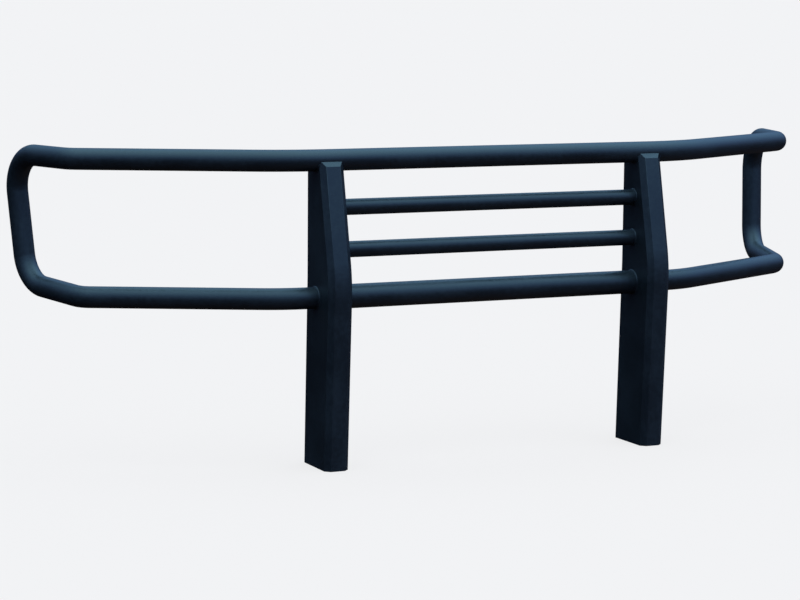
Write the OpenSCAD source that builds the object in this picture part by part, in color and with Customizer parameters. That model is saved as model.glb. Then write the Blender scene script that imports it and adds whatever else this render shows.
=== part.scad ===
// Front grille guard for a full-size pickup: two formed steel uprights, a wraparound tube hoop
// with headlight loops, a stout lower crossbar and two slimmer grille bars, all welded together.
// Frame: +Z up, -Y towards the road ahead, +X to the right as seen from in front of it.
// The origin is the middle of the four bracket bolts, on the back faces of the mounting plates.

/* [Uprights] */
// Distance between the centres of the two uprights
upright_spacing = 840; // [700:5:900]
// Width of each upright across its side walls
upright_width = 60; // [50:1:70]
// Plate thickness of the formed uprights
upright_wall = 4.8; // [3:0.1:6]
// Depth of the 45 degree bevels along the front corners
corner_bevel = 12.5; // [10:0.5:15]
// Height of the front face's top edge above the foot
front_top_z = 706; // [700:1:712]
// Height of the kink in the front face above the foot
kink_z = 444; // [430:1:460]
// How far the kink's corner is cut back, where the plate is bent over a large radius
kink_ease = 3; // [1:0.5:4]
// How far the front face's top edge sits behind the kink
front_top_back = 56; // [54:1:58]
// How far the front face's foot sits behind the kink
front_foot_back = 25; // [5:1:40]
// Distance from the kink back to the rear edge, at the top
rear_top_back = 138; // [130:1:150]
// Distance from the kink back to the rear edge, at the kink
rear_kink_back = 140; // [132:1:150]
// Distance from the kink back to the rear edge, at the foot
rear_foot_back = 159; // [150:1:175]
// Height and depth of the bevel that closes the top in front of the rail
cap_bevel = 10.5; // [8:0.5:11]

/* [Tubes] */
// Outside diameter of the hoop
rail_od = 50.8; // [48:0.1:52]
// Wall thickness of the hoop and the lower crossbar
rail_wall = 3.2; // [2:0.1:5]
// Outside diameter of the lower crossbar
crossbar_od = 57.2; // [50:0.1:60]
// Outside diameter of the two grille bars
slat_od = 38.1; // [32:0.1:42]
// Wall thickness of the two grille bars
slat_wall = 2.4; // [1.5:0.1:4]
// Distance from the kink back to the plane that all tube centres share
rails_back = 92; // [90:0.5:95]
// Height of the top rail's centre above the foot
top_rail_z = 719; // [715:0.5:724]
// Height of the lower wings' and the crossbar's centre above the foot
low_rail_z = 400; // [380:1:420]
// Height of the upper grille bar's centre above the foot
upper_slat_z = 609; // [590:1:625]
// Height of the lower grille bar's centre above the foot
lower_slat_z = 510; // [490:1:525]

/* [Wraparound] */
// Where the upper wing turns back, from the centre plane
upper_turn_x = 513; // [512:1:530]
// Where the lower wing turns back, from the centre plane
lower_turn_x = 525; // [520:1:560]
// Bend radius where the upper wing turns back
upper_turn_r = 360; // [250:5:360]
// Bend radius where the lower wing turns back
lower_turn_r = 240; // [150:5:260]
// Upper front corner of the hoop, from the centre plane
upper_corner_x = 965; // [955:1:975]
// Upper front corner of the hoop, behind the kink
upper_corner_back = 336; // [326:1:346]
// Upper rear corner of the hoop, from the centre plane
upper_end_x = 1031; // [1020:1:1040]
// Upper rear corner of the hoop, behind the kink
upper_end_back = 567; // [550:1:590]
// Lower rear corner of the hoop, from the centre plane
lower_end_x = 1012; // [1000:1:1025]
// Lower rear corner of the hoop, behind the kink
lower_end_back = 528; // [510:1:550]
// Lower front corner of the hoop, from the centre plane
lower_corner_x = 948; // [935:1:960]
// Lower front corner of the hoop, behind the kink
lower_corner_back = 308; // [295:1:320]
// How far the lower rear corner sits above the lower front corner
lower_end_rise = 13; // [0:1:20]
// Bend radius of the upper front corner
upper_corner_r = 50; // [45:1:80]
// Bend radius of the upper rear corner
upper_end_r = 82; // [70:1:110]
// Bend radius of the lower rear corner
lower_end_r = 84; // [70:1:110]
// Bend radius of the lower front corner
lower_corner_r = 50; // [45:1:80]
// Distance from each front corner to the butt joint between wing and end hoop
joint_run = 150; // [130:5:180]

/* [Mounting] */
// Distance from the kink back to the bearing face of the mounting plates
mount_back = 150; // [146:0.5:150]
// Thickness of the mounting plates
mount_wall = 8; // [6:0.5:12]
// Height of the mounting plates
mount_height = 180; // [160:5:200]
// Gap between a mounting plate and each side wall, before welding
mount_gap = 0.1; // [0.1:0.1:0.5]
// Height of the middle of the bolt pattern above the foot
mount_z = 95; // [95:1:120]
// Vertical distance between the two bolts of one plate
bolt_pitch = 110; // [90:5:120]
// Diameter of the bolt holes
bolt_hole_d = 14; // [13:0.5:16]
// Width across the flats of the weld nuts
nut_flats = 19; // [18:0.5:24]
// Height of the weld nuts
nut_height = 11; // [8:0.5:13]
// Bore of the weld nuts, at the thread's crest
nut_bore_d = 10.4; // [10:0.1:12]
// Thickness of the web above each mounting plate
web_wall = 4.8; // [3:0.1:6]

/* [Welds and sleeves] */
// Leg length of the fillet welds around the tubes
weld_leg = 4.5; // [3:0.5:6]
// Length of the backing sleeve inside each butt joint of the hoop
sleeve_len = 70; // [50:5:90]
// Clearance between a sleeve and the tube around it
sleeve_gap = 0.2; // [0.1:0.1:0.5]

/* [Hidden] */
$fn = 96;
black = [0.10, 0.11, 0.13];
bare = [0.45, 0.46, 0.48];
half = upright_spacing / 2;
side_x = half - upright_width / 2;
outer_x = half + upright_width / 2;
past = 200;
// A bend is this much slimmer in its skin than the straights, and runs this far into their walls
bend_ease = 0.02;
bend_lap = 1;

// Unit directions of the front face above and below the kink
function unit(v) = v / norm(v);
front_up = unit([front_top_back, front_top_z - kink_z]);
front_down = unit([front_foot_back, -kink_z]);
top_z = front_top_z + cap_bevel;

// The hoop's right half as corner points and bend radii, starting from the upright
upper_turn = [upper_turn_x, rails_back, top_rail_z];
upper_corner = [upper_corner_x, upper_corner_back, top_rail_z];
upper_end = [upper_end_x, upper_end_back, top_rail_z];
lower_end = [lower_end_x, lower_end_back, low_rail_z + lower_end_rise];
lower_corner = [lower_corner_x, lower_corner_back, low_rail_z];
lower_turn = [lower_turn_x, rails_back, low_rail_z];
rail_joint = [half, rails_back, top_rail_z];
upper_joint = upper_corner + joint_run * unit(upper_turn - upper_corner);
lower_joint = lower_corner + joint_run * unit(lower_turn - lower_corner);
lower_root = [outer_x, rails_back, low_rail_z];

// ---- Placing ----

// Moves a shape drawn from the kink and the foot into the part's own frame
module placed() {
    translate([0, -mount_back, -mount_z]) children();
}

// The same for a shape drawn on the right half, or its mirror image for the left half
module on_side(side) {
    placed() mirror([side < 0 ? 1 : 0, 0, 0]) children();
}

// ---- Tube paths ----

// Lays local X, Y and Z along three directions, with the local origin at a point
module framed(x, y, z, at) {
    multmatrix([
        [x.x, y.x, z.x, at.x],
        [x.y, y.y, z.y, at.y],
        [x.z, y.z, z.z, at.z],
        [0, 0, 0, 1]
    ]) children();
}

module ring(od, id) {
    difference() {
        circle(d = od);
        circle(d = id);
    }
}

// Straight hollow tube between two points
module straight(a, b, od, id) {
    along = unit(b - a);
    across = unit(cross(abs(along.z) < 0.9 ? [0, 0, 1] : [1, 0, 0], along));
    framed(across, cross(along, across), along, a)
        linear_extrude(norm(b - a)) ring(od, id);
}

// How far the path turns at corner b, and how far from b its bend of radius r begins
function turn_angle(a, b, c) = acos(unit(b - a) * unit(c - b));
function run_in(a, b, c, r) = r * tan(turn_angle(a, b, c) / 2);

// Hollow bend of centreline radius r that rounds the corner b between a and c
module bend(a, b, c, r, od, id) {
    turn = turn_angle(a, b, c);
    lap = bend_lap / r * 180 / PI;
    back = unit(a - b);
    start = b + back * run_in(a, b, c, r);
    centre = b + unit(back + unit(c - b)) * r / cos(turn / 2);
    outward = unit(start - centre);
    framed(outward, -back, cross(outward, -back), centre)
        rotate([0, 0, -lap]) rotate_extrude(angle = turn + 2 * lap)
            translate([r, 0]) ring(od - 2 * bend_ease, id + 2 * bend_ease);
}

// Hollow tube through corner points p, with a bend radius for each inner corner
module tube_path(p, radii, od, wall) {
    last = len(p) - 1;
    id = od - 2 * wall;
    inner = [for (i = [1:last - 1]) run_in(p[i - 1], p[i], p[i + 1], radii[i - 1])];
    trim = concat([0], inner, [0]);
    for (i = [0:last - 1]) {
        along = unit(p[i + 1] - p[i]);
        straight(p[i] + along * trim[i], p[i + 1] - along * trim[i + 1], od, id);
    }
    for (i = [1:last - 1])
        bend(p[i - 1], p[i], p[i + 1], radii[i - 1], od, id);
}

// ---- Uprights ----

// Extrudes an outline drawn in Y and Z across the width of an upright centred on x = 0
module side_slab(outline, width) {
    rotate([90, 0, 90]) linear_extrude(width, center = true) polygon(outline);
}

// Cross-section of an upright, a plate thickness of skin inside its outer surface
module section(skin, depth) {
    w = upright_width / 2 - skin;
    c = corner_bevel - skin * (2 - sqrt(2));
    polygon([
        [-w + c, skin], [w - c, skin], [w, skin + c], [w, depth],
        [-w, depth], [-w, skin + c]
    ]);
}

// A bar with the upright's cross-section along one front face, far past both ends
module bar_along(direction, skin, back = 0) {
    translate([0, back, kink_z]) rotate([-atan2(direction.x, direction.y), 0, 0])
        linear_extrude(4 * past + 2 * kink_z, center = true) section(skin, 2 * past);
}

// The space inside the upright's front, bevels and side walls, drawn a skin inside the plate
module front_form(skin) {
    intersection() {
        bar_along(front_up, skin);
        bar_along(-front_down, skin);
        bar_along(front_up - front_down, skin, kink_ease);
    }
}

module upright_form() {
    difference() {
        intersection() {
            front_form(0);
            side_slab([
                [front_top_back - past, front_top_z - past],
                [front_top_back + cap_bevel, top_z],
                [rear_top_back, top_z],
                [rear_kink_back, kink_z],
                [rear_foot_back, 0],
                [front_top_back - past, 0]
            ], 2 * upright_width);
        }
        front_form(upright_wall);
        rail_seat();
    }
}

// The top rail as a solid bar, cut from what it rests in
module rail_seat() {
    translate([-upright_width, rails_back, top_rail_z]) rotate([0, 90, 0])
        cylinder(d = rail_od, h = 2 * upright_width);
}

// Bevelled plate that closes the upright's top in front of the rail
module cap_form() {
    drop = upright_wall * sqrt(2);
    difference() {
        intersection() {
            front_form(upright_wall);
            side_slab([
                [front_top_back - cap_bevel, front_top_z - cap_bevel],
                [rails_back, front_top_z + rails_back - front_top_back],
                [rails_back, front_top_z + rails_back - front_top_back - drop],
                [front_top_back - cap_bevel, front_top_z - cap_bevel - drop]
            ], upright_width);
        }
        rail_seat();
        translate([0, rails_back + past / 2, top_rail_z])
            cube([upright_width, past, past], center = true);
    }
}

// ---- Mounting ----

bolt_heights = [mount_z - bolt_pitch / 2, mount_z + bolt_pitch / 2];

module plate_form() {
    width = upright_width - 2 * (upright_wall + mount_gap);
    difference() {
        translate([0, mount_back - mount_wall / 2, mount_z])
            cube([width, mount_wall, mount_height], center = true);
        for (z = bolt_heights)
            translate([0, mount_back + 1, z]) rotate([90, 0, 0])
                cylinder(d = bolt_hole_d, h = mount_wall + 2);
    }
}

module nut_pair() {
    for (z = bolt_heights)
        translate([0, mount_back - mount_wall, z]) rotate([90, 0, 0]) difference() {
            cylinder(d = nut_flats / cos(30), h = nut_height, $fn = 6);
            translate([0, 0, -1]) cylinder(d = nut_bore_d, h = nut_height + 2);
        }
}

// Level plate inside the upright that ties the top of the mounting plate to the front face
module web_form() {
    low = mount_z + mount_height / 2;
    intersection() {
        front_form(upright_wall);
        translate([0, mount_back / 2, low + web_wall / 2])
            cube([upright_width, mount_back, web_wall], center = true);
    }
}

// ---- Welds and sleeves ----

// Fillet around a tube of diameter d where it meets a wall at x, growing towards side dir
module fillet_ring(d, z, x, dir) {
    translate([x, rails_back, z]) rotate([0, 90 * dir, 0]) rotate_extrude()
        polygon([[d / 2, 0], [d / 2 + weld_leg, 0], [d / 2, weld_leg]]);
}

module rail_weld_rings() {
    fillet_ring(rail_od, low_rail_z, outer_x, 1);
    fillet_ring(crossbar_od, low_rail_z, side_x, -1);
    fillet_ring(slat_od, upper_slat_z, side_x, -1);
    fillet_ring(slat_od, lower_slat_z, side_x, -1);
}

// Fillets under the top rail on both side walls, kept within the walls' own outline
module saddle_weld_rings() {
    intersection() {
        union() {
            fillet_ring(rail_od, top_rail_z, outer_x, 1);
            fillet_ring(rail_od, top_rail_z, side_x, -1);
        }
        translate([half, 0, 0]) side_slab([
            [front_top_back, front_top_z],
            [front_top_back + cap_bevel, top_z],
            [rear_top_back, top_z],
            [rear_top_back, top_z - rail_od],
            [front_top_back, top_z - rail_od]
        ], upright_width + 4 * weld_leg);
    }
}

// Backing sleeve centred on a butt joint, along the direction of the tube there
module sleeve(at, along) {
    od = rail_od - 2 * rail_wall - 2 * sleeve_gap;
    reach = along * sleeve_len / 2;
    straight(at - reach, at + reach, od, od - 2 * rail_wall);
}

module sleeve_pair() {
    sleeve(upper_joint, unit(upper_turn - upper_corner));
    sleeve(lower_joint, unit(lower_turn - lower_corner));
}

// ---- Hoop ----

module upper_wing_path() {
    tube_path([rail_joint, upper_turn, upper_joint], [upper_turn_r], rail_od, rail_wall);
}

module end_hoop_path() {
    tube_path([upper_joint, upper_corner, upper_end, lower_end, lower_corner, lower_joint],
        [upper_corner_r, upper_end_r, lower_end_r, lower_corner_r], rail_od, rail_wall);
}

module lower_wing_path() {
    tube_path([lower_joint, lower_turn, lower_root], [lower_turn_r], rail_od, rail_wall);
}

module crosswise(z, reach, od, wall) {
    straight([-reach, rails_back, z], [reach, rails_back, z], od, od - 2 * wall);
}

// ---- Nodes ----

// Moves a shape drawn about the middle of an upright to the right or the left upright
module at_upright(side) {
    on_side(side) translate([half, 0, 0]) children();
}

module left_upright() {
    color(black) at_upright(-1) upright_form();
}

module right_upright() {
    color(black) at_upright(1) upright_form();
}

module left_top_cap() {
    color(black) at_upright(-1) cap_form();
}

module right_top_cap() {
    color(black) at_upright(1) cap_form();
}

module left_mount_plate() {
    color(black) at_upright(-1) plate_form();
}

module right_mount_plate() {
    color(black) at_upright(1) plate_form();
}

module left_web() {
    color(black) at_upright(-1) web_form();
}

module right_web() {
    color(black) at_upright(1) web_form();
}

module left_weld_nuts() {
    color(black) at_upright(-1) nut_pair();
}

module right_weld_nuts() {
    color(black) at_upright(1) nut_pair();
}

module top_rail() {
    color(black) placed() crosswise(top_rail_z, half, rail_od, rail_wall);
}

module left_upper_wing() {
    color(black) on_side(-1) upper_wing_path();
}

module right_upper_wing() {
    color(black) on_side(1) upper_wing_path();
}

module left_end_hoop() {
    color(black) on_side(-1) end_hoop_path();
}

module right_end_hoop() {
    color(black) on_side(1) end_hoop_path();
}

module left_lower_wing() {
    color(black) on_side(-1) lower_wing_path();
}

module right_lower_wing() {
    color(black) on_side(1) lower_wing_path();
}

module lower_crossbar() {
    color(black) placed() crosswise(low_rail_z, side_x, crossbar_od, rail_wall);
}

module upper_grille_bar() {
    color(black) placed() crosswise(upper_slat_z, side_x, slat_od, slat_wall);
}

module lower_grille_bar() {
    color(black) placed() crosswise(lower_slat_z, side_x, slat_od, slat_wall);
}

module left_sleeves() {
    color(bare) on_side(-1) sleeve_pair();
}

module right_sleeves() {
    color(bare) on_side(1) sleeve_pair();
}

module left_rail_welds() {
    color(black) on_side(-1) rail_weld_rings();
}

module right_rail_welds() {
    color(black) on_side(1) rail_weld_rings();
}

module left_saddle_welds() {
    color(black) on_side(-1) saddle_weld_rings();
}

module right_saddle_welds() {
    color(black) on_side(1) saddle_weld_rings();
}

left_upright();
right_upright();
left_top_cap();
right_top_cap();
left_mount_plate();
right_mount_plate();
left_web();
right_web();
left_weld_nuts();
right_weld_nuts();
top_rail();
left_upper_wing();
right_upper_wing();
left_end_hoop();
right_end_hoop();
left_lower_wing();
right_lower_wing();
lower_crossbar();
upper_grille_bar();
lower_grille_bar();
left_sleeves();
right_sleeves();
left_rail_welds();
right_rail_welds();
left_saddle_welds();
right_saddle_welds();
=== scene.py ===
# %% [markdown]
# # A front grille guard, in cells
# The object is a welded steel guard that bolts to the front of a pickup: two formed uprights, a
# round tube hoop that wraps round the headlights, and three crossbars between the uprights, all
# under one satin black powder coat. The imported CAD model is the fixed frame. Everything here is
# laid on that frame in metres: +Z up, the road ahead towards -Y, the vehicle towards +Y.

import math

import bmesh
import bpy
from mathutils import Matrix, Vector


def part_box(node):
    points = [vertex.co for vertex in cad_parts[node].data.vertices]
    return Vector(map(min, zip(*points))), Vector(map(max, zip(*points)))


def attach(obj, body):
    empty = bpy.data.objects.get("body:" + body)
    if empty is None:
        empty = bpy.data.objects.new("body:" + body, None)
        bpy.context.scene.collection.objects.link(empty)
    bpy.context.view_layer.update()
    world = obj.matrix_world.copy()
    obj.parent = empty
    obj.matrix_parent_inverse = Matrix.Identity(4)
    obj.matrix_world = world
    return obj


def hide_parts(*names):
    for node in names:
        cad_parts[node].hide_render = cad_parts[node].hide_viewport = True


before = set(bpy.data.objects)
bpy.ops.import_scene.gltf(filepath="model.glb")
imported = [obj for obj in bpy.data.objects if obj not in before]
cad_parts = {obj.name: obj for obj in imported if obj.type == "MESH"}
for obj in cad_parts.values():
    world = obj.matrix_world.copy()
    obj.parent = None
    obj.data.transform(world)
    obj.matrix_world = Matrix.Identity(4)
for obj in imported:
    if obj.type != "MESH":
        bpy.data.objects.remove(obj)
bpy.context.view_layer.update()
scene = bpy.context.scene
print("nodes:", len(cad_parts))

# %% [markdown]
# ## Sizes that the pieces share
# A piece that fits a CAD node takes its place from that node, so that the two can't drift apart.
# The rails' radii and heights are measured on the nodes' boxes. The top rail ends halfway across
# an upright and a crossbar ends at its inner side wall, so those two also give the outer wall.
# Only the hoop's corners are written out, because the box of a bent tube doesn't say where its
# bends are.

# %% Measure the rails, the bars and the uprights
MM = 0.001


def bar_facts(node):
    """(radius, centre in Y, centre in Z, right end in X) of a straight bar that lies along X."""
    low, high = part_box(node)
    size = high - low
    return max(size.y, size.z) / 2, (high.y + low.y) / 2, (high.z + low.z) / 2, high.x


RAIL_R, RAIL_Y, TOP_Z, HALF = bar_facts("top_rail")
CROSSBAR_R, _, LOW_Z, SIDE_X = bar_facts("lower_crossbar")
SLAT_R, _, UPPER_SLAT_Z, _ = bar_facts("upper_grille_bar")
_, _, LOWER_SLAT_Z, _ = bar_facts("lower_grille_bar")
OUTER_X = 2 * HALF - SIDE_X
upright_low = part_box("right_upright")[0]
FLOOR_Z = upright_low.z
FRONT_Y = upright_low.y
print("radii", [round(r / MM, 1) for r in (RAIL_R, CROSSBAR_R, SLAT_R)], "mm")
print("heights", [round(z, 3) for z in (TOP_Z, UPPER_SLAT_Z, LOWER_SLAT_Z, LOW_Z, FLOOR_Z)])

# %% [markdown]
# ## A studio that leaves black paint black
# Black satin paint shows little colour of its own. What the eye reads is the sky in its upper
# side and the dark ground in its lower side. A white floor that shone back into the tubes would
# grey their undersides, so here the floor is seen by the camera and takes shadows, but it is left
# out of reflections and of bounce light. Area lamps could light the guard, but each one would
# draw its own bright line along every tube. A world that only changes slowly makes one soft
# gradient instead: blue and bright overhead, darkest just under the horizon, and a little lighter
# and warmer again straight down. One side of a real room is brighter too, so the world fades away
# from a bright direction at the upper right in front of the guard. Its strength is 0.97 in that
# direction, 0.52 square to it and 0.07 on the far side.

# %% The world
scene.view_settings.view_transform = "Standard"
PALE = (0.93, 0.935, 0.94, 1)
SKY_STOPS = [
    (0.00, (0.20, 0.18, 0.17, 1)),
    (0.25, (0.070, 0.066, 0.080, 1)),
    (0.42, (0.040, 0.040, 0.056, 1)),
    (0.52, (0.10, 0.12, 0.22, 1)),
    (0.66, (0.31, 0.58, 1.25, 1)),
    (0.82, (0.66, 1.36, 2.25, 1)),
    (1.00, (1.45, 2.80, 3.70, 1)),
]
BRIGHT_SIDE = Vector((0.50, -0.50, 0.707))
STRENGTH_SQUARE, STRENGTH_SWING = 0.52, 0.45


def place_node(tree, kind, place, **facts):
    """A new shader node of one kind, with its place on the canvas and its properties set."""
    made = tree.nodes.new(kind)
    made.location = place
    for key, value in facts.items():
        setattr(made, key, value)
    return made


def fill_ramp(ramp, stops):
    """Gives a Color Ramp node its stops, as (position, colour) pairs."""
    band = ramp.color_ramp
    while len(band.elements) < len(stops):
        band.elements.new(0.5)
    for element, (at, colour) in zip(band.elements, stops):
        element.position = at
        element.color = colour


def build_sky():
    """A world that lights by height and side, and shows the camera a plain pale backdrop."""
    world = bpy.data.worlds.new("studio_sky")
    scene.world = world
    world.use_nodes = True
    tree = world.node_tree
    tree.nodes.clear()
    link = tree.links.new
    where = place_node(tree, "ShaderNodeTexCoord", (-900, 0))
    split = place_node(tree, "ShaderNodeSeparateXYZ", (-720, 0))
    height = place_node(tree, "ShaderNodeMapRange", (-540, 0))
    height.inputs["From Min"].default_value = -1.0
    ramp = place_node(tree, "ShaderNodeValToRGB", (-340, 0))
    fill_ramp(ramp, SKY_STOPS)
    facing = place_node(tree, "ShaderNodeVectorMath", (-540, 300), operation="DOT_PRODUCT")
    facing.inputs[1].default_value = BRIGHT_SIDE
    share = place_node(tree, "ShaderNodeMath", (-340, 300), operation="MULTIPLY_ADD")
    share.inputs[1].default_value = STRENGTH_SWING
    share.inputs[2].default_value = STRENGTH_SQUARE
    lit = place_node(tree, "ShaderNodeBackground", (-60, 80))
    seen = place_node(tree, "ShaderNodeBackground", (-60, -80))
    seen.inputs["Color"].default_value = PALE
    path = place_node(tree, "ShaderNodeLightPath", (-60, 320))
    mix = place_node(tree, "ShaderNodeMixShader", (160, 0))
    out = place_node(tree, "ShaderNodeOutputWorld", (340, 0))
    link(where.outputs["Generated"], split.inputs[0])
    link(split.outputs["Z"], height.inputs["Value"])
    link(height.outputs["Result"], ramp.inputs["Fac"])
    link(ramp.outputs["Color"], lit.inputs["Color"])
    link(where.outputs["Generated"], facing.inputs[0])
    link(facing.outputs["Value"], share.inputs[0])
    link(share.outputs[0], lit.inputs["Strength"])
    link(path.outputs["Is Camera Ray"], mix.inputs["Fac"])
    link(lit.outputs[0], mix.inputs[1])
    link(seen.outputs[0], mix.inputs[2])
    link(mix.outputs[0], out.inputs["Surface"])
    return world


print("world:", build_sky().name)

# %% [markdown]
# The floor is one large sheet of pale paper under the uprights' feet. The sky above it is blue,
# so plain white paper would look blue too. Its colour is warm by as much as the sky is cold, and
# most of its brightness is its own glow, which leaves only a faint shadow round each foot.

# %% The floor
FLOOR_REACH = 400.0
PAPER, GLOW = (0.20, 0.105, 0.078, 1), 0.82


def build_floor(reach):
    """A pale floor that the camera sees, and that lights nothing."""
    mesh = bpy.data.meshes.new("studio_floor")
    corners = [(-reach, -reach), (reach, -reach), (reach, reach), (-reach, reach)]
    mesh.from_pydata([(x, y, FLOOR_Z) for x, y in corners], [], [(0, 1, 2, 3)])
    floor = bpy.data.objects.new("studio_floor", mesh)
    scene.collection.objects.link(floor)
    paper = bpy.data.materials.new("pale_paper")
    paper.use_nodes = True
    shader = paper.node_tree.nodes["Principled BSDF"]
    shader.inputs["Base Color"].default_value = PAPER
    shader.inputs["Roughness"].default_value = 0.95
    shader.inputs["Specular IOR Level"].default_value = 0.0
    shader.inputs["Emission Color"].default_value = PALE
    shader.inputs["Emission Strength"].default_value = GLOW
    mesh.materials.append(paper)
    floor.visible_glossy = False
    floor.visible_diffuse = False


build_floor(FLOOR_REACH)
print("floor at", round(FLOOR_Z, 4))

# %% [markdown]
# ## The camera
# The guard is seen from in front and a little to its left, from just over a metre above the
# floor, through a long lens that keeps its uprights nearly parallel. The lens is given as a focal
# length on a 36 mm frame, and the camera points a few degrees down, as a person would hold it.

# %% Place the camera
LENS_MM = 111.36
CAMERA_AT = (-2.6243, -5.3223, 1.0282)
TURN, TILT, ROLL = (math.radians(a) for a in (24.42, 7.28, 0.31))


def build_camera():
    """The scene's camera. It turns from due ahead to its right, tips down and leans a little."""
    lens = bpy.data.cameras.new("viewer")
    lens.lens = LENS_MM
    lens.sensor_width = 36
    lens.clip_end = 1000
    viewer = bpy.data.objects.new("viewer", lens)
    viewer.location = CAMERA_AT
    turn = Matrix.Rotation(-TURN, 3, "Z")
    tilt = Matrix.Rotation(math.radians(90) - TILT, 3, "X")
    roll = Matrix.Rotation(ROLL, 3, "Z")
    viewer.rotation_euler = (turn @ tilt @ roll).to_euler()
    scene.collection.objects.link(viewer)
    scene.camera = viewer
    return viewer


print("camera at", tuple(round(c, 3) for c in build_camera().location))

# %% [markdown]
# ## Powder coat, part one: its surface
# Powder coat is sprayed on dry and melts into one skin in an oven. It never levels quite flat:
# it keeps an orange peel of soft dimples a few millimetres across, with a finer grit between
# them, because a satin powder holds matting grains. Both belong to any coat of this kind, so
# they are one node group that gives a height for a Bump node. Its texture runs on the object's
# own coordinates, so it goes on unbroken from tube to tube.

# %% Node group: orange peel
def new_group(name, takes, gives):
    """A shader node group with float inputs (name, default) and outputs (name, socket kind)."""
    group = bpy.data.node_groups.new(name, "ShaderNodeTree")
    for label, start in takes:
        socket = group.interface.new_socket(label, in_out="INPUT", socket_type="NodeSocketFloat")
        socket.default_value = start
    for label, kind in gives:
        group.interface.new_socket(label, in_out="OUTPUT", socket_type=kind)
    entry = place_node(group, "NodeGroupInput", (-900, 0))
    leave = place_node(group, "NodeGroupOutput", (700, 0))
    return group, entry, leave


def noise_at(tree, place, coordinates, scale, detail):
    """A noise texture on given coordinates. A scale of 300 makes grains about 3 mm across."""
    noise = place_node(tree, "ShaderNodeTexNoise", place)
    noise.inputs["Scale"].default_value = scale
    noise.inputs["Detail"].default_value = detail
    tree.links.new(coordinates, noise.inputs["Vector"])
    return noise


def build_orange_peel():
    """Soft dimples and finer grit, each with its own strength, added up as one height."""
    group, entry, leave = new_group(
        "orange_peel", [("Peel", 0.7), ("Grit", 0.3)], [("Height", "NodeSocketFloat")]
    )
    link = group.links.new
    where = place_node(group, "ShaderNodeTexCoord", (-900, 300))
    peel = noise_at(group, (-600, 260), where.outputs["Object"], 300, 2)
    grit = noise_at(group, (-600, -60), where.outputs["Object"], 1400, 1)
    share = place_node(group, "ShaderNodeMath", (-300, 200), operation="MULTIPLY")
    rest = place_node(group, "ShaderNodeMath", (-300, -60), operation="MULTIPLY")
    total = place_node(group, "ShaderNodeMath", (0, 80), operation="ADD")
    link(peel.outputs["Fac"], share.inputs[0])
    link(entry.outputs["Peel"], share.inputs[1])
    link(grit.outputs["Fac"], rest.inputs[0])
    link(entry.outputs["Grit"], rest.inputs[1])
    link(share.outputs[0], total.inputs[0])
    link(rest.outputs[0], total.inputs[1])
    link(total.outputs[0], leave.inputs["Height"])
    return group


orange_peel = build_orange_peel()
print("node group", orange_peel.name)

# %% [markdown]
# ## Powder coat, part two: handling marks and painted top light
# A coat that has been handled is not one even tone. Wiping leaves cloudy patches where it is a
# little duller. This group gives two masks: one cloudy, in two sizes, and one for painted top
# light, a lighter tone that is strongest on level tops and broken up by the same clouds.

# %% Node group: handling marks and painted top light
def build_marks_and_top_light():
    """Cloudy patches of two sizes, and painted top light on whatever faces up."""
    group, entry, leave = new_group(
        "marks_and_top_light",
        [("Cloud Low", 0.38), ("Cloud High", 0.66)],
        [("Clouds", "NodeSocketFloat"), ("Top Light", "NodeSocketFloat")],
    )
    link = group.links.new
    where = place_node(group, "ShaderNodeTexCoord", (-900, 300))
    broad = noise_at(group, (-640, 320), where.outputs["Object"], 9, 3)
    close = noise_at(group, (-640, 40), where.outputs["Object"], 95, 3)
    both = place_node(group, "ShaderNodeMix", (-420, 200), data_type="FLOAT")
    both.inputs[0].default_value = 0.45
    spread = place_node(group, "ShaderNodeMapRange", (-200, 200), interpolation_type="SMOOTHSTEP")
    facing = place_node(group, "ShaderNodeSeparateXYZ", (-420, -220))
    level = place_node(group, "ShaderNodeMapRange", (-200, -220), interpolation_type="SMOOTHSTEP")
    level.inputs["From Min"].default_value = 0.25
    # Painted top light: the cloud mask times how far a face points up, so level tops come out
    # lighter.
    top_light = place_node(group, "ShaderNodeMath", (120, -100), operation="MULTIPLY")
    link(broad.outputs["Fac"], both.inputs[2])
    link(close.outputs["Fac"], both.inputs[3])
    link(both.outputs[0], spread.inputs["Value"])
    link(entry.outputs["Cloud Low"], spread.inputs["From Min"])
    link(entry.outputs["Cloud High"], spread.inputs["From Max"])
    link(where.outputs["Normal"], facing.inputs[0])
    link(facing.outputs["Z"], level.inputs["Value"])
    link(spread.outputs["Result"], top_light.inputs[0])
    link(level.outputs["Result"], top_light.inputs[1])
    link(spread.outputs["Result"], leave.inputs["Clouds"])
    link(top_light.outputs[0], leave.inputs["Top Light"])
    return group


marks_and_top_light = build_marks_and_top_light()
print("node group", marks_and_top_light.name)

# %% [markdown]
# ## The coat itself
# The coat is nearly a neutral black, and most of the blue that it shows is the sky's. Its shader
# is a dielectric one of middling roughness, since satin paint mirrors the sky only as a broad
# sheen. The masks move its colour and roughness a little, and painted top light lifts the level
# tops.

# %% Material: satin black powder coat
# Painted top light: a lighter tone laid over the coat on level tops, a painted lightening, not dust.
TOP_LIGHT_TONE, TOP_LIGHT_COVER = (0.075, 0.082, 0.085, 1), 0.16


def mixed(tree, place, mask, low, high):
    """A node that goes from low to high with the mask. Both are colours, or both are numbers."""
    kind = "RGBA" if isinstance(low, tuple) else "FLOAT"
    mix = place_node(tree, "ShaderNodeMix", place, data_type=kind)
    first, second, out = (6, 7, 2) if kind == "RGBA" else (2, 3, 0)
    mix.inputs[first].default_value = low
    mix.inputs[second].default_value = high
    tree.links.new(mask, mix.inputs[0])
    return mix.outputs[out]


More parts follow.
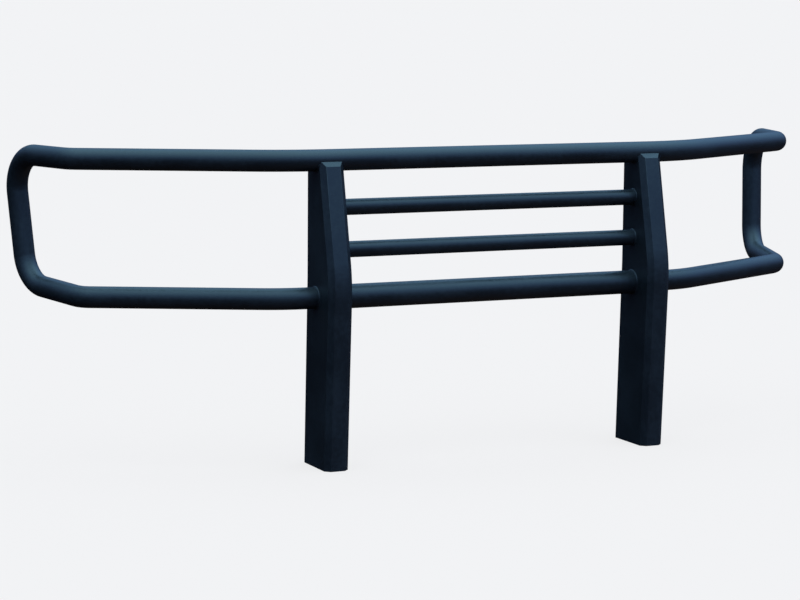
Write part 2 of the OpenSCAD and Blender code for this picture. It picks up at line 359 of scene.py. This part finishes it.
def build_coat(name, deep, lifted, sheen, dulled, bump):
    """A coat from its two tones, its two roughnesses and how deep its bumps read."""
    coat = bpy.data.materials.new(name)
    coat.use_nodes = True
    tree = coat.node_tree
    link = tree.links.new
    shader = tree.nodes["Principled BSDF"]
    marks = place_node(tree, "ShaderNodeGroup", (-900, 200), node_tree=marks_and_top_light)
    peel = place_node(tree, "ShaderNodeGroup", (-900, -200), node_tree=orange_peel)
    tone = mixed(tree, (-620, 320), marks.outputs["Clouds"], deep, lifted)
    # Painted top light is mixed over the coat's tone here.
    top_lit = place_node(tree, "ShaderNodeMix", (-380, 320), data_type="RGBA")
    top_lit.inputs[7].default_value = TOP_LIGHT_TONE
    top_light_share = place_node(tree, "ShaderNodeMath", (-620, 120), operation="MULTIPLY")
    top_light_share.inputs[1].default_value = TOP_LIGHT_COVER
    relief = place_node(tree, "ShaderNodeBump", (-380, -200))
    relief.inputs["Strength"].default_value = bump
    relief.inputs["Distance"].default_value = 0.4 * MM
    link(marks.outputs["Top Light"], top_light_share.inputs[0])
    link(top_light_share.outputs[0], top_lit.inputs[0])
    link(tone, top_lit.inputs[6])
    link(top_lit.outputs[2], shader.inputs["Base Color"])
    link(mixed(tree, (-380, 60), marks.outputs["Clouds"], sheen, dulled), shader.inputs["Roughness"])
    link(peel.outputs["Height"], relief.inputs["Height"])
    link(relief.outputs["Normal"], shader.inputs["Normal"])
    return coat


DEEP_BLACK = (0.0135, 0.0140, 0.0155, 1)
LIFTED_BLACK = (0.022, 0.0225, 0.024, 1)
black_coat = build_coat("satin_black_powder_coat", DEEP_BLACK, LIFTED_BLACK, 0.36, 0.46, 0.6)
print("material", black_coat.name)

# %% [markdown]
# ## Bare steel
# The sleeves inside the hoop's butt joints are cut from drawn tube and stay uncoated, because
# the powder can't reach them. Drawing leaves fine streaks along the tube. A noise that is
# stretched fifty times along X gives them, in both the metal's tone and its roughness.

# %% Material: drawn steel for the sleeves
def build_drawn_steel():
    """Grey metal with streaks that run from side to side of the guard."""
    steel = bpy.data.materials.new("drawn_steel")
    steel.use_nodes = True
    tree = steel.node_tree
    link = tree.links.new
    shader = tree.nodes["Principled BSDF"]
    shader.inputs["Metallic"].default_value = 1.0
    where = place_node(tree, "ShaderNodeTexCoord", (-1000, 0))
    along = place_node(tree, "ShaderNodeMapping", (-820, 0))
    along.inputs["Scale"].default_value = (0.02, 1, 1)
    streaks = noise_at(tree, (-620, 0), along.outputs[0], 900, 3)
    dark, light = (0.34, 0.34, 0.35, 1), (0.50, 0.50, 0.51, 1)
    link(where.outputs["Object"], along.inputs[0])
    tone = mixed(tree, (-380, 200), streaks.outputs["Fac"], dark, light)
    link(tone, shader.inputs["Base Color"])
    link(mixed(tree, (-380, -40), streaks.outputs["Fac"], 0.28, 0.5), shader.inputs["Roughness"])
    return steel


drawn_steel = build_drawn_steel()
print("material", drawn_steel.name)

# %% [markdown]
# ## How every piece is handed over
# A piece stands for its CAD node, rides with the one rigid body and takes a finish. All of that
# is the same for each piece, so one helper does it. It also prints how far the new piece's box is
# from the node's, which shows at once if a shape is off.

# %% Helper: turn a mesh into a piece
def box_gap(piece, node):
    """The largest distance between a side of the piece's box and the same side of the node's."""
    low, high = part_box(node)
    corners = [Vector(c) for c in piece.bound_box]
    gaps = []
    for i in range(3):
        sides = [c[i] for c in corners]
        gaps += [abs(min(sides) - low[i]), abs(max(sides) - high[i])]
    return max(gaps)


def finish_piece(bm, name, smooth=35):
    """Makes a coated object from a bmesh. It replaces the CAD node of the same name."""
    bmesh.ops.recalc_face_normals(bm, faces=bm.faces)
    mesh = bpy.data.meshes.new(name + "_skin")
    bm.to_mesh(mesh)
    bm.free()
    mesh.materials.append(black_coat)
    mesh.polygons.foreach_set("use_smooth", [True] * len(mesh.polygons))
    mesh.set_sharp_from_angle(angle=math.radians(smooth))
    piece = bpy.data.objects.new(name + "_piece", mesh)
    scene.collection.objects.link(piece)
    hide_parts(name)
    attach(piece, "root")
    print(f"{name}: {len(mesh.vertices)} points, box within {box_gap(piece, name) / MM:.2f} mm")
    return piece


# %% [markdown]
# ## Tubes
# The hoop is round tube that a machine has bent round a former: straight runs joined by arcs.
# Blender's curves could sweep a circle along it, but a bend made that way is either a spline
# that isn't quite an arc or a chain of handles. It is clearer to walk the path: each corner is
# replaced by an arc of the true radius, and a ring of points is set across the path at every
# step, turned no more than the path itself turns. Two skins, outside and inside, make the wall.

# %% Helper: the path of a bent tube
def arc_points(a, b, c, radius, step=3.0):
    """Stations round the corner b between a and c: (point, direction, outward, pull).

    The pull says how much the bend has drawn the tube in: 0 at its ends and 1 halfway round.
    """
    into = (b - a).normalized()
    away = (c - b).normalized()
    turn = into.angle(away)
    start = b - into * radius * math.tan(turn / 2)
    centre = b + (away - into).normalized() * radius / math.cos(turn / 2)
    axis = into.cross(away).normalized()
    count = max(2, math.ceil(math.degrees(turn) / step))
    stations = []
    for i in range(count + 1):
        spin = Matrix.Rotation(turn * i / count, 3, axis)
        arm = spin @ (start - centre)
        pull = math.sin(math.pi * i / count)
        stations.append((centre + arm, spin @ into, arm.normalized(), pull))
    return stations


def tube_stations(corners, radii):
    """Stations of a tube through corner points, with a bend radius for each inner corner."""
    corners = [Vector(c) for c in corners]
    first = (corners[1] - corners[0]).normalized()
    last = (corners[-1] - corners[-2]).normalized()
    stations = [(corners[0], first, first, 0.0)]
    for i, radius in enumerate(radii):
        stations += arc_points(corners[i], corners[i + 1], corners[i + 2], radius)
    stations.append((corners[-1], last, last, 0.0))
    return stations


right_angle = [Vector(c) for c in ((0, 0, 0), (1, 0, 0), (1, 1, 0))]
print("a quarter bend takes", len(arc_points(*right_angle, 0.082)), "rings")

# %% [markdown]
# A tube that is bent cold stretches on the outside of the bend, and its outer side flattens. The
# sweep draws that side in by up to 2 percent in the middle of each bend and by nothing at its
# ends. The dent is small, but it breaks the perfect highlight that a computed bend would have.

# %% Helper: sweep a tube wall along its path
def sweep_tube(corners, radii, radius, wall, flat=0.02, around=56):
    """A closed bmesh of a tube, from its corners, bend radii, radius and wall."""
    bm = bmesh.new()
    stations = tube_stations(corners, radii)
    heading = stations[0][1]
    side = heading.orthogonal().normalized()
    rings = []
    for point, direction, outward, pull in stations:
        side = heading.rotation_difference(direction) @ side
        side = (side - direction * side.dot(direction)).normalized()
        heading = direction
        up = direction.cross(side)
        ring = []
        for r in (radius, radius - wall):
            for k in range(around):
                angle = 2 * math.pi * k / around
                spoke = side * math.cos(angle) + up * math.sin(angle)
                drawn = 1 - flat * pull * max(0.0, spoke.dot(outward)) ** 2
                ring.append(bm.verts.new(point + spoke * r * drawn))
        rings.append((ring[:around], ring[around:]))
    for (outer_a, inner_a), (outer_b, inner_b) in zip(rings, rings[1:]):
        for k in range(around):
            n = (k + 1) % around
            bm.faces.new((outer_a[k], outer_b[k], outer_b[n], outer_a[n]))
            bm.faces.new((inner_a[k], inner_a[n], inner_b[n], inner_b[k]))
    for outer, inner in (rings[0], rings[-1]):
        for k in range(around):
            n = (k + 1) % around
            bm.faces.new((outer[k], outer[n], inner[n], inner[k]))
    return bm


# %% [markdown]
# The right half of the hoop is written once, as corner points and bend radii, and the left half
# is its mirror image. The gentle turn just outside the upright sends the wing back round the
# headlight. Further out each rail bends twice more: at a tight corner that turns it towards the
# vehicle, and then into the leg that closes the end hoop. The wing and the end hoop are separate
# tubes that meet in a butt joint, a short run before the tight corner.

# %% Make the hoop
WALL = 3.2 * MM
JOINT_RUN = 0.150
UPPER_TURN = Vector((0.513, RAIL_Y, TOP_Z))
UPPER_CORNER = Vector((0.965, 0.186, TOP_Z))
UPPER_END = Vector((1.031, 0.417, TOP_Z))
LOWER_END = Vector((1.012, 0.378, LOW_Z + 0.013))
LOWER_CORNER = Vector((0.948, 0.158, LOW_Z))
LOWER_TURN = Vector((0.525, RAIL_Y, LOW_Z))
upper_joint = UPPER_CORNER + JOINT_RUN * (UPPER_TURN - UPPER_CORNER).normalized()
lower_joint = LOWER_CORNER + JOINT_RUN * (LOWER_TURN - LOWER_CORNER).normalized()
HOOP_RUNS = {
    "upper_wing": ([(HALF, RAIL_Y, TOP_Z), UPPER_TURN, upper_joint], [0.360]),
    "end_hoop": (
        [upper_joint, UPPER_CORNER, UPPER_END, LOWER_END, LOWER_CORNER, lower_joint],
        [0.050, 0.082, 0.084, 0.050],
    ),
    "lower_wing": ([lower_joint, LOWER_TURN, (OUTER_X, RAIL_Y, LOW_Z)], [0.240]),
}
for side, sign in (("left", -1), ("right", 1)):
    for run, (corners, radii) in HOOP_RUNS.items():
        mirrored = [(sign * c[0], c[1], c[2]) for c in corners]
        finish_piece(sweep_tube(mirrored, radii, RAIL_R, WALL), f"{side}_{run}")

# %% [markdown]
# The rail over the uprights and the three bars between them are straight cuts of tube. They use
# the same sweep with no bends. The lower crossbar is a stouter tube than the hoop, and the two
# bars in front of the grille are slimmer.

# %% Make the straight bars
SLAT_WALL = 2.4 * MM


def straight_bar(node, wall):
    """A bar from end to end of its node, which is centred on the guard."""
    radius, y, z, reach = bar_facts(node)
    finish_piece(sweep_tube([(-reach, y, z), (reach, y, z)], [], radius, wall), node)


straight_bar("top_rail", WALL)
straight_bar("lower_crossbar", WALL)
straight_bar("upper_grille_bar", SLAT_WALL)
straight_bar("lower_grille_bar", SLAT_WALL)

# %% [markdown]
# ## Uprights and plates
# An upright is plate folded in a press, so its front corners are round over a few millimetres,
# while its sheared edges are only eased. The CAD node has the right faces but knife-sharp folds.
# A clean copy of it, with one face per flat, can have each kind of edge rounded by its own
# amount. A Bevel modifier would treat them all alike.

# %% Helpers: a clean copy of a CAD node, and its edges
def clean_copy(node):
    """A bmesh of the node with shared corners and one face per flat."""
    bm = bmesh.new()
    bm.from_mesh(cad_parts[node].data)
    bmesh.ops.remove_doubles(bm, verts=bm.verts, dist=0.02 * MM)
    bmesh.ops.dissolve_limit(bm, angle_limit=math.radians(0.5), verts=bm.verts, edges=bm.edges)
    return bm


def round_edges(bm, edges, width, segments):
    """Rounds edges of a bmesh, from a width away on either side of each."""
    bmesh.ops.bevel(
        bm, geom=edges, offset=width, offset_type="OFFSET", segments=segments,
        profile=0.5, affect="EDGES", clamp_overlap=True,
    )


def turns_by(edge, low, high):
    """True for an outside corner whose faces turn by an angle between low and high degrees."""
    if len(edge.link_faces) != 2 or not edge.is_convex:
        return False
    return math.radians(low) < edge.calc_face_angle() < math.radians(high)


def keep_flats_flat(piece):
    """Weights the shading normals by face size, so that rounded edges don't shade the flats."""
    weighted = piece.modifiers.new("flat_faces", "WEIGHTED_NORMAL")
    weighted.keep_sharp = True


sample = clean_copy("right_upright")
print("an upright has", len(sample.faces), "faces and", len(sample.edges), "edges")
sample.free()

# %% [markdown]
# Three kinds of edge are told apart by where they lie and how far they turn. The two creases of
# the kink turn by under 10 degrees each, and are rounded very widely into one long, gentle bend.
# The folds beside the front face turn by 45 degrees and run up the whole upright. The cut edges
# turn by about 90 degrees, round the foot and down the backs of the side walls.

# %% Round the uprights
KINK_ROUND, FOLD_ROUND, CUT_ROUND = 21 * MM, 3.4 * MM, 0.6 * MM
FRONT_DEPTH = 30 * MM


def is_crease(edge):
    """True for the level edges of the kink, across the front face and its two bevels."""
    a, b = (v.co for v in edge.verts)
    in_front = max(a.y, b.y) < FRONT_Y + FRONT_DEPTH
    return turns_by(edge, 3, 20) and abs(a.z - b.z) < 6 * MM and in_front


def is_fold(edge):
    """True for the long folds beside the front face."""
    a, b = (v.co for v in edge.verts)
    return turns_by(edge, 38, 52) and abs(a.z - b.z) > 0.9 * (a - b).length


def is_cut(edge):
    """True for the sheared edges round the foot and down the backs of the side walls."""
    heights = [v.co.z for v in edge.verts]
    foot = max(heights) < FLOOR_Z + 0.1 * MM
    return turns_by(edge, 60, 120) and (foot or max(heights) - min(heights) > 0.1)


for side in ("left", "right"):
    bm = clean_copy(side + "_upright")
    creases = [e for e in bm.edges if is_crease(e)]
    round_edges(bm, creases, KINK_ROUND, 7)
    folds = [e for e in bm.edges if is_fold(e)]
    round_edges(bm, folds, FOLD_ROUND, 4)
    cuts = [e for e in bm.edges if is_cut(e)]
    round_edges(bm, cuts, CUT_ROUND, 2)
    print(side, "creases:", len(creases), "fold pieces:", len(folds), "cut edges:", len(cuts))
    keep_flats_flat(finish_piece(bm, side + "_upright"))

# %% [markdown]
# The mounting plates and the webs above them are sheared from flat bar. Their edges and the rims
# of the bolt holes are deburred by hand, the thicker plate a little more than the web.

# %% Break the edges of the plates
for side in ("left", "right"):
    for plate, width in (("mount_plate", 0.7 * MM), ("web", 0.5 * MM)):
        bm = clean_copy(f"{side}_{plate}")
        round_edges(bm, [e for e in bm.edges if turns_by(e, 40, 140)], width, 2)
        keep_flats_flat(finish_piece(bm, f"{side}_{plate}"))

# %% [markdown]
# ## Weld beads
# A fillet weld laid by hand is a row of overlapping puddles. Each one freezes as a crescent that
# bows in the direction of travel, with a sharp valley where the next begins. Here a bead's
# cross-section is carried round the tube, and its size swells and shrinks with the distance
# travelled. The middle of the section runs ahead of its two toes, and that bends the ripples
# into crescents. A bead that doesn't close on itself thins out at both ends.

# %% Helper: one bead round a tube that meets a wall
BEAD_LEG, RIPPLE_PITCH, RIPPLE_STEPS = 2.6 * MM, 2.8 * MM, 6
BEAD_ROOT, BEAD_END, END_SIZE = 0.4 * MM, 5 * MM, 0.3
VALLEY, CROWN, CRESCENT = 0.10, 0.16, 0.45
SECTION = [0.0, 0.15, 0.32, 0.5, 0.68, 0.85, 1.0]


def weld_bead(bm, wall_x, toward, z, radius, first=0.0, last=360.0):
    """A bead on one side of a wall, +1 or -1 along X, between two angles in degrees.

    The angles run round the tube from its front, at 0, over its top, at 90.
    """
    closed = last - first > 359
    length = math.radians(last - first) * radius
    ripples = round(length / RIPPLE_PITCH)
    steps = ripples * RIPPLE_STEPS
    rings = []
    for i in range(steps + (0 if closed else 1)):
        angle = math.radians(first + (last - first) * i / steps)
        spoke = Vector((0, -math.cos(angle), math.sin(angle)))
        along = length * i / steps
        taper = 1.0 if closed else min(1.0, END_SIZE + min(along, length - along) / BEAD_END)
        ring = [Vector((wall_x, RAIL_Y, z)) + spoke * (radius - BEAD_ROOT)]
        for t in SECTION:
            lead = 4 * t * (1 - t)
            ripple = abs(math.sin(math.pi * (ripples * i / steps - CRESCENT * lead)))
            size = BEAD_LEG * taper * (1 - VALLEY + VALLEY * ripple)
            swell = CROWN * lead * size
            out = spoke * (radius + t * size + swell)
            ring.append(Vector((wall_x + toward * ((1 - t) * size + swell), RAIL_Y, z)) + out)
        rings.append([bm.verts.new(p) for p in ring])
    for a, b in zip(rings, rings[1:] + (rings[:1] if closed else [])):
        for k in range(len(a)):
            n = (k + 1) % len(a)
            bm.faces.new((a[k], b[k], b[n], a[n]))
    if not closed:
        bm.faces.new(rings[0])
        bm.faces.new(rings[-1])


# %% [markdown]
# Every bar has a bead where it meets the side wall of an upright, and so has the root of each
# lower wing. The top rail lies in a seat cut into both side walls, and its beads run only under
# it, from the front edge of the wall round to the back edge.

# %% Lay the beads
SADDLE_BACK, SADDLE_FRONT = -172, -17
for side, sign in (("left", -1), ("right", 1)):
    bm = bmesh.new()
    weld_bead(bm, sign * OUTER_X, sign, LOW_Z, RAIL_R)
    weld_bead(bm, sign * SIDE_X, -sign, LOW_Z, CROSSBAR_R)
    weld_bead(bm, sign * SIDE_X, -sign, UPPER_SLAT_Z, SLAT_R)
    weld_bead(bm, sign * SIDE_X, -sign, LOWER_SLAT_Z, SLAT_R)
    finish_piece(bm, side + "_rail_welds", smooth=80)
    bm = bmesh.new()
    weld_bead(bm, sign * OUTER_X, sign, TOP_Z, RAIL_R, SADDLE_BACK, SADDLE_FRONT)
    weld_bead(bm, sign * SIDE_X, -sign, TOP_Z, RAIL_R, SADDLE_BACK, SADDLE_FRONT)
    finish_piece(bm, side + "_saddle_welds", smooth=80)

# %% [markdown]
# ## Weld nuts
# A nut is hexagonal bar, turned to a 30 degree chamfer at its free end and tapped right through.
# Both facts are rules about a radius: outside, the smaller of the hexagon and the chamfer's cone,
# and inside, a thread that rises by one pitch in each turn. So one grid of points, walked from
# the plate to the free end and back down the bore, makes the whole nut.

# %% Helper: one tapped nut
NUT_FLATS, NUT_HEIGHT, NUT_BORE = 19 * MM, 11 * MM, 10.4 * MM
THREAD_PITCH, THREAD_DEPTH = 1.75 * MM, 0.75 * MM
CHAMFER_DEPTH, CHAMFER_ROWS, BORE_ROWS = 1.1 * MM, 6, 42
PLATE_FRONT_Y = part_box("right_mount_plate")[0].y


def nut_radius(angle, depth):
    """Outer radius of the nut at an angle, at a depth below its free end."""
    flat = NUT_FLATS / 2
    across = angle % (math.pi / 3) - math.pi / 6
    return min(flat / math.cos(across), 0.97 * flat + depth * math.tan(math.radians(60)))


def bore_radius(angle, depth):
    """Radius of the tapped bore, with a countersink at both ends."""
    turns = depth / THREAD_PITCH + angle / (2 * math.pi)
    groove = 1 - abs(2 * (turns % 1) - 1)
    mouth = NUT_BORE / 2 + THREAD_DEPTH + 0.1 * MM - min(depth, NUT_HEIGHT - depth)
    return max(NUT_BORE / 2 + groove * THREAD_DEPTH, mouth)


def tapped_nut(bm, x, z, around=72):
    """A nut on the front of the mounting plate, with its axis along Y at x and z."""
    chamfer = [CHAMFER_DEPTH * (1 - i / CHAMFER_ROWS) for i in range(CHAMFER_ROWS + 1)]
    outside = [NUT_HEIGHT] + chamfer
    inside = [NUT_HEIGHT * i / BORE_ROWS for i in range(BORE_ROWS + 1)]
    rows = [(d, nut_radius) for d in outside] + [(d, bore_radius) for d in inside]
    grid = []
    for depth, rule in rows:
        y = PLATE_FRONT_Y - NUT_HEIGHT + depth
        row = []
        for angle in (2 * math.pi * k / around for k in range(around)):
            r = rule(angle, depth)
            row.append(bm.verts.new((x + r * math.cos(angle), y, z + r * math.sin(angle))))
        grid.append(row)
    for a, b in zip(grid, grid[1:] + grid[:1]):
        for k in range(around):
            n = (k + 1) % around
            bm.faces.new((a[k], b[k], b[n], a[n]))


print("a turn of the thread takes", round(THREAD_PITCH / NUT_HEIGHT * BORE_ROWS, 1), "rows")

# %% [markdown]
# Each mounting plate has two nuts on its front, one over each bolt hole. The node's box holds
# both, with a flat of the upper nut on its top and a flat of the lower nut on its bottom.

# %% Make the weld nuts
for side in ("left", "right"):
    low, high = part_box(side + "_weld_nuts")
    bm = bmesh.new()
    for z in (low.z + NUT_FLATS / 2, high.z - NUT_FLATS / 2):
        tapped_nut(bm, (low.x + high.x) / 2, z)
    finish_piece(bm, side + "_weld_nuts", smooth=30)

# %% [markdown]
# ## The nodes that stay
# The top caps sit flush in the fronts of the uprights' tops, so none of their edges stands proud
# to be rounded. The sleeves are plain tube inside the hoop, out of sight. Both keep their CAD
# meshes and only take a finish.

# %% Finish the CAD nodes that stay
for name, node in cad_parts.items():
    if node.hide_render:
        continue
    node.data.materials.clear()
    node.data.materials.append(drawn_steel if name.endswith("sleeves") else black_coat)
    print("stays:", name)
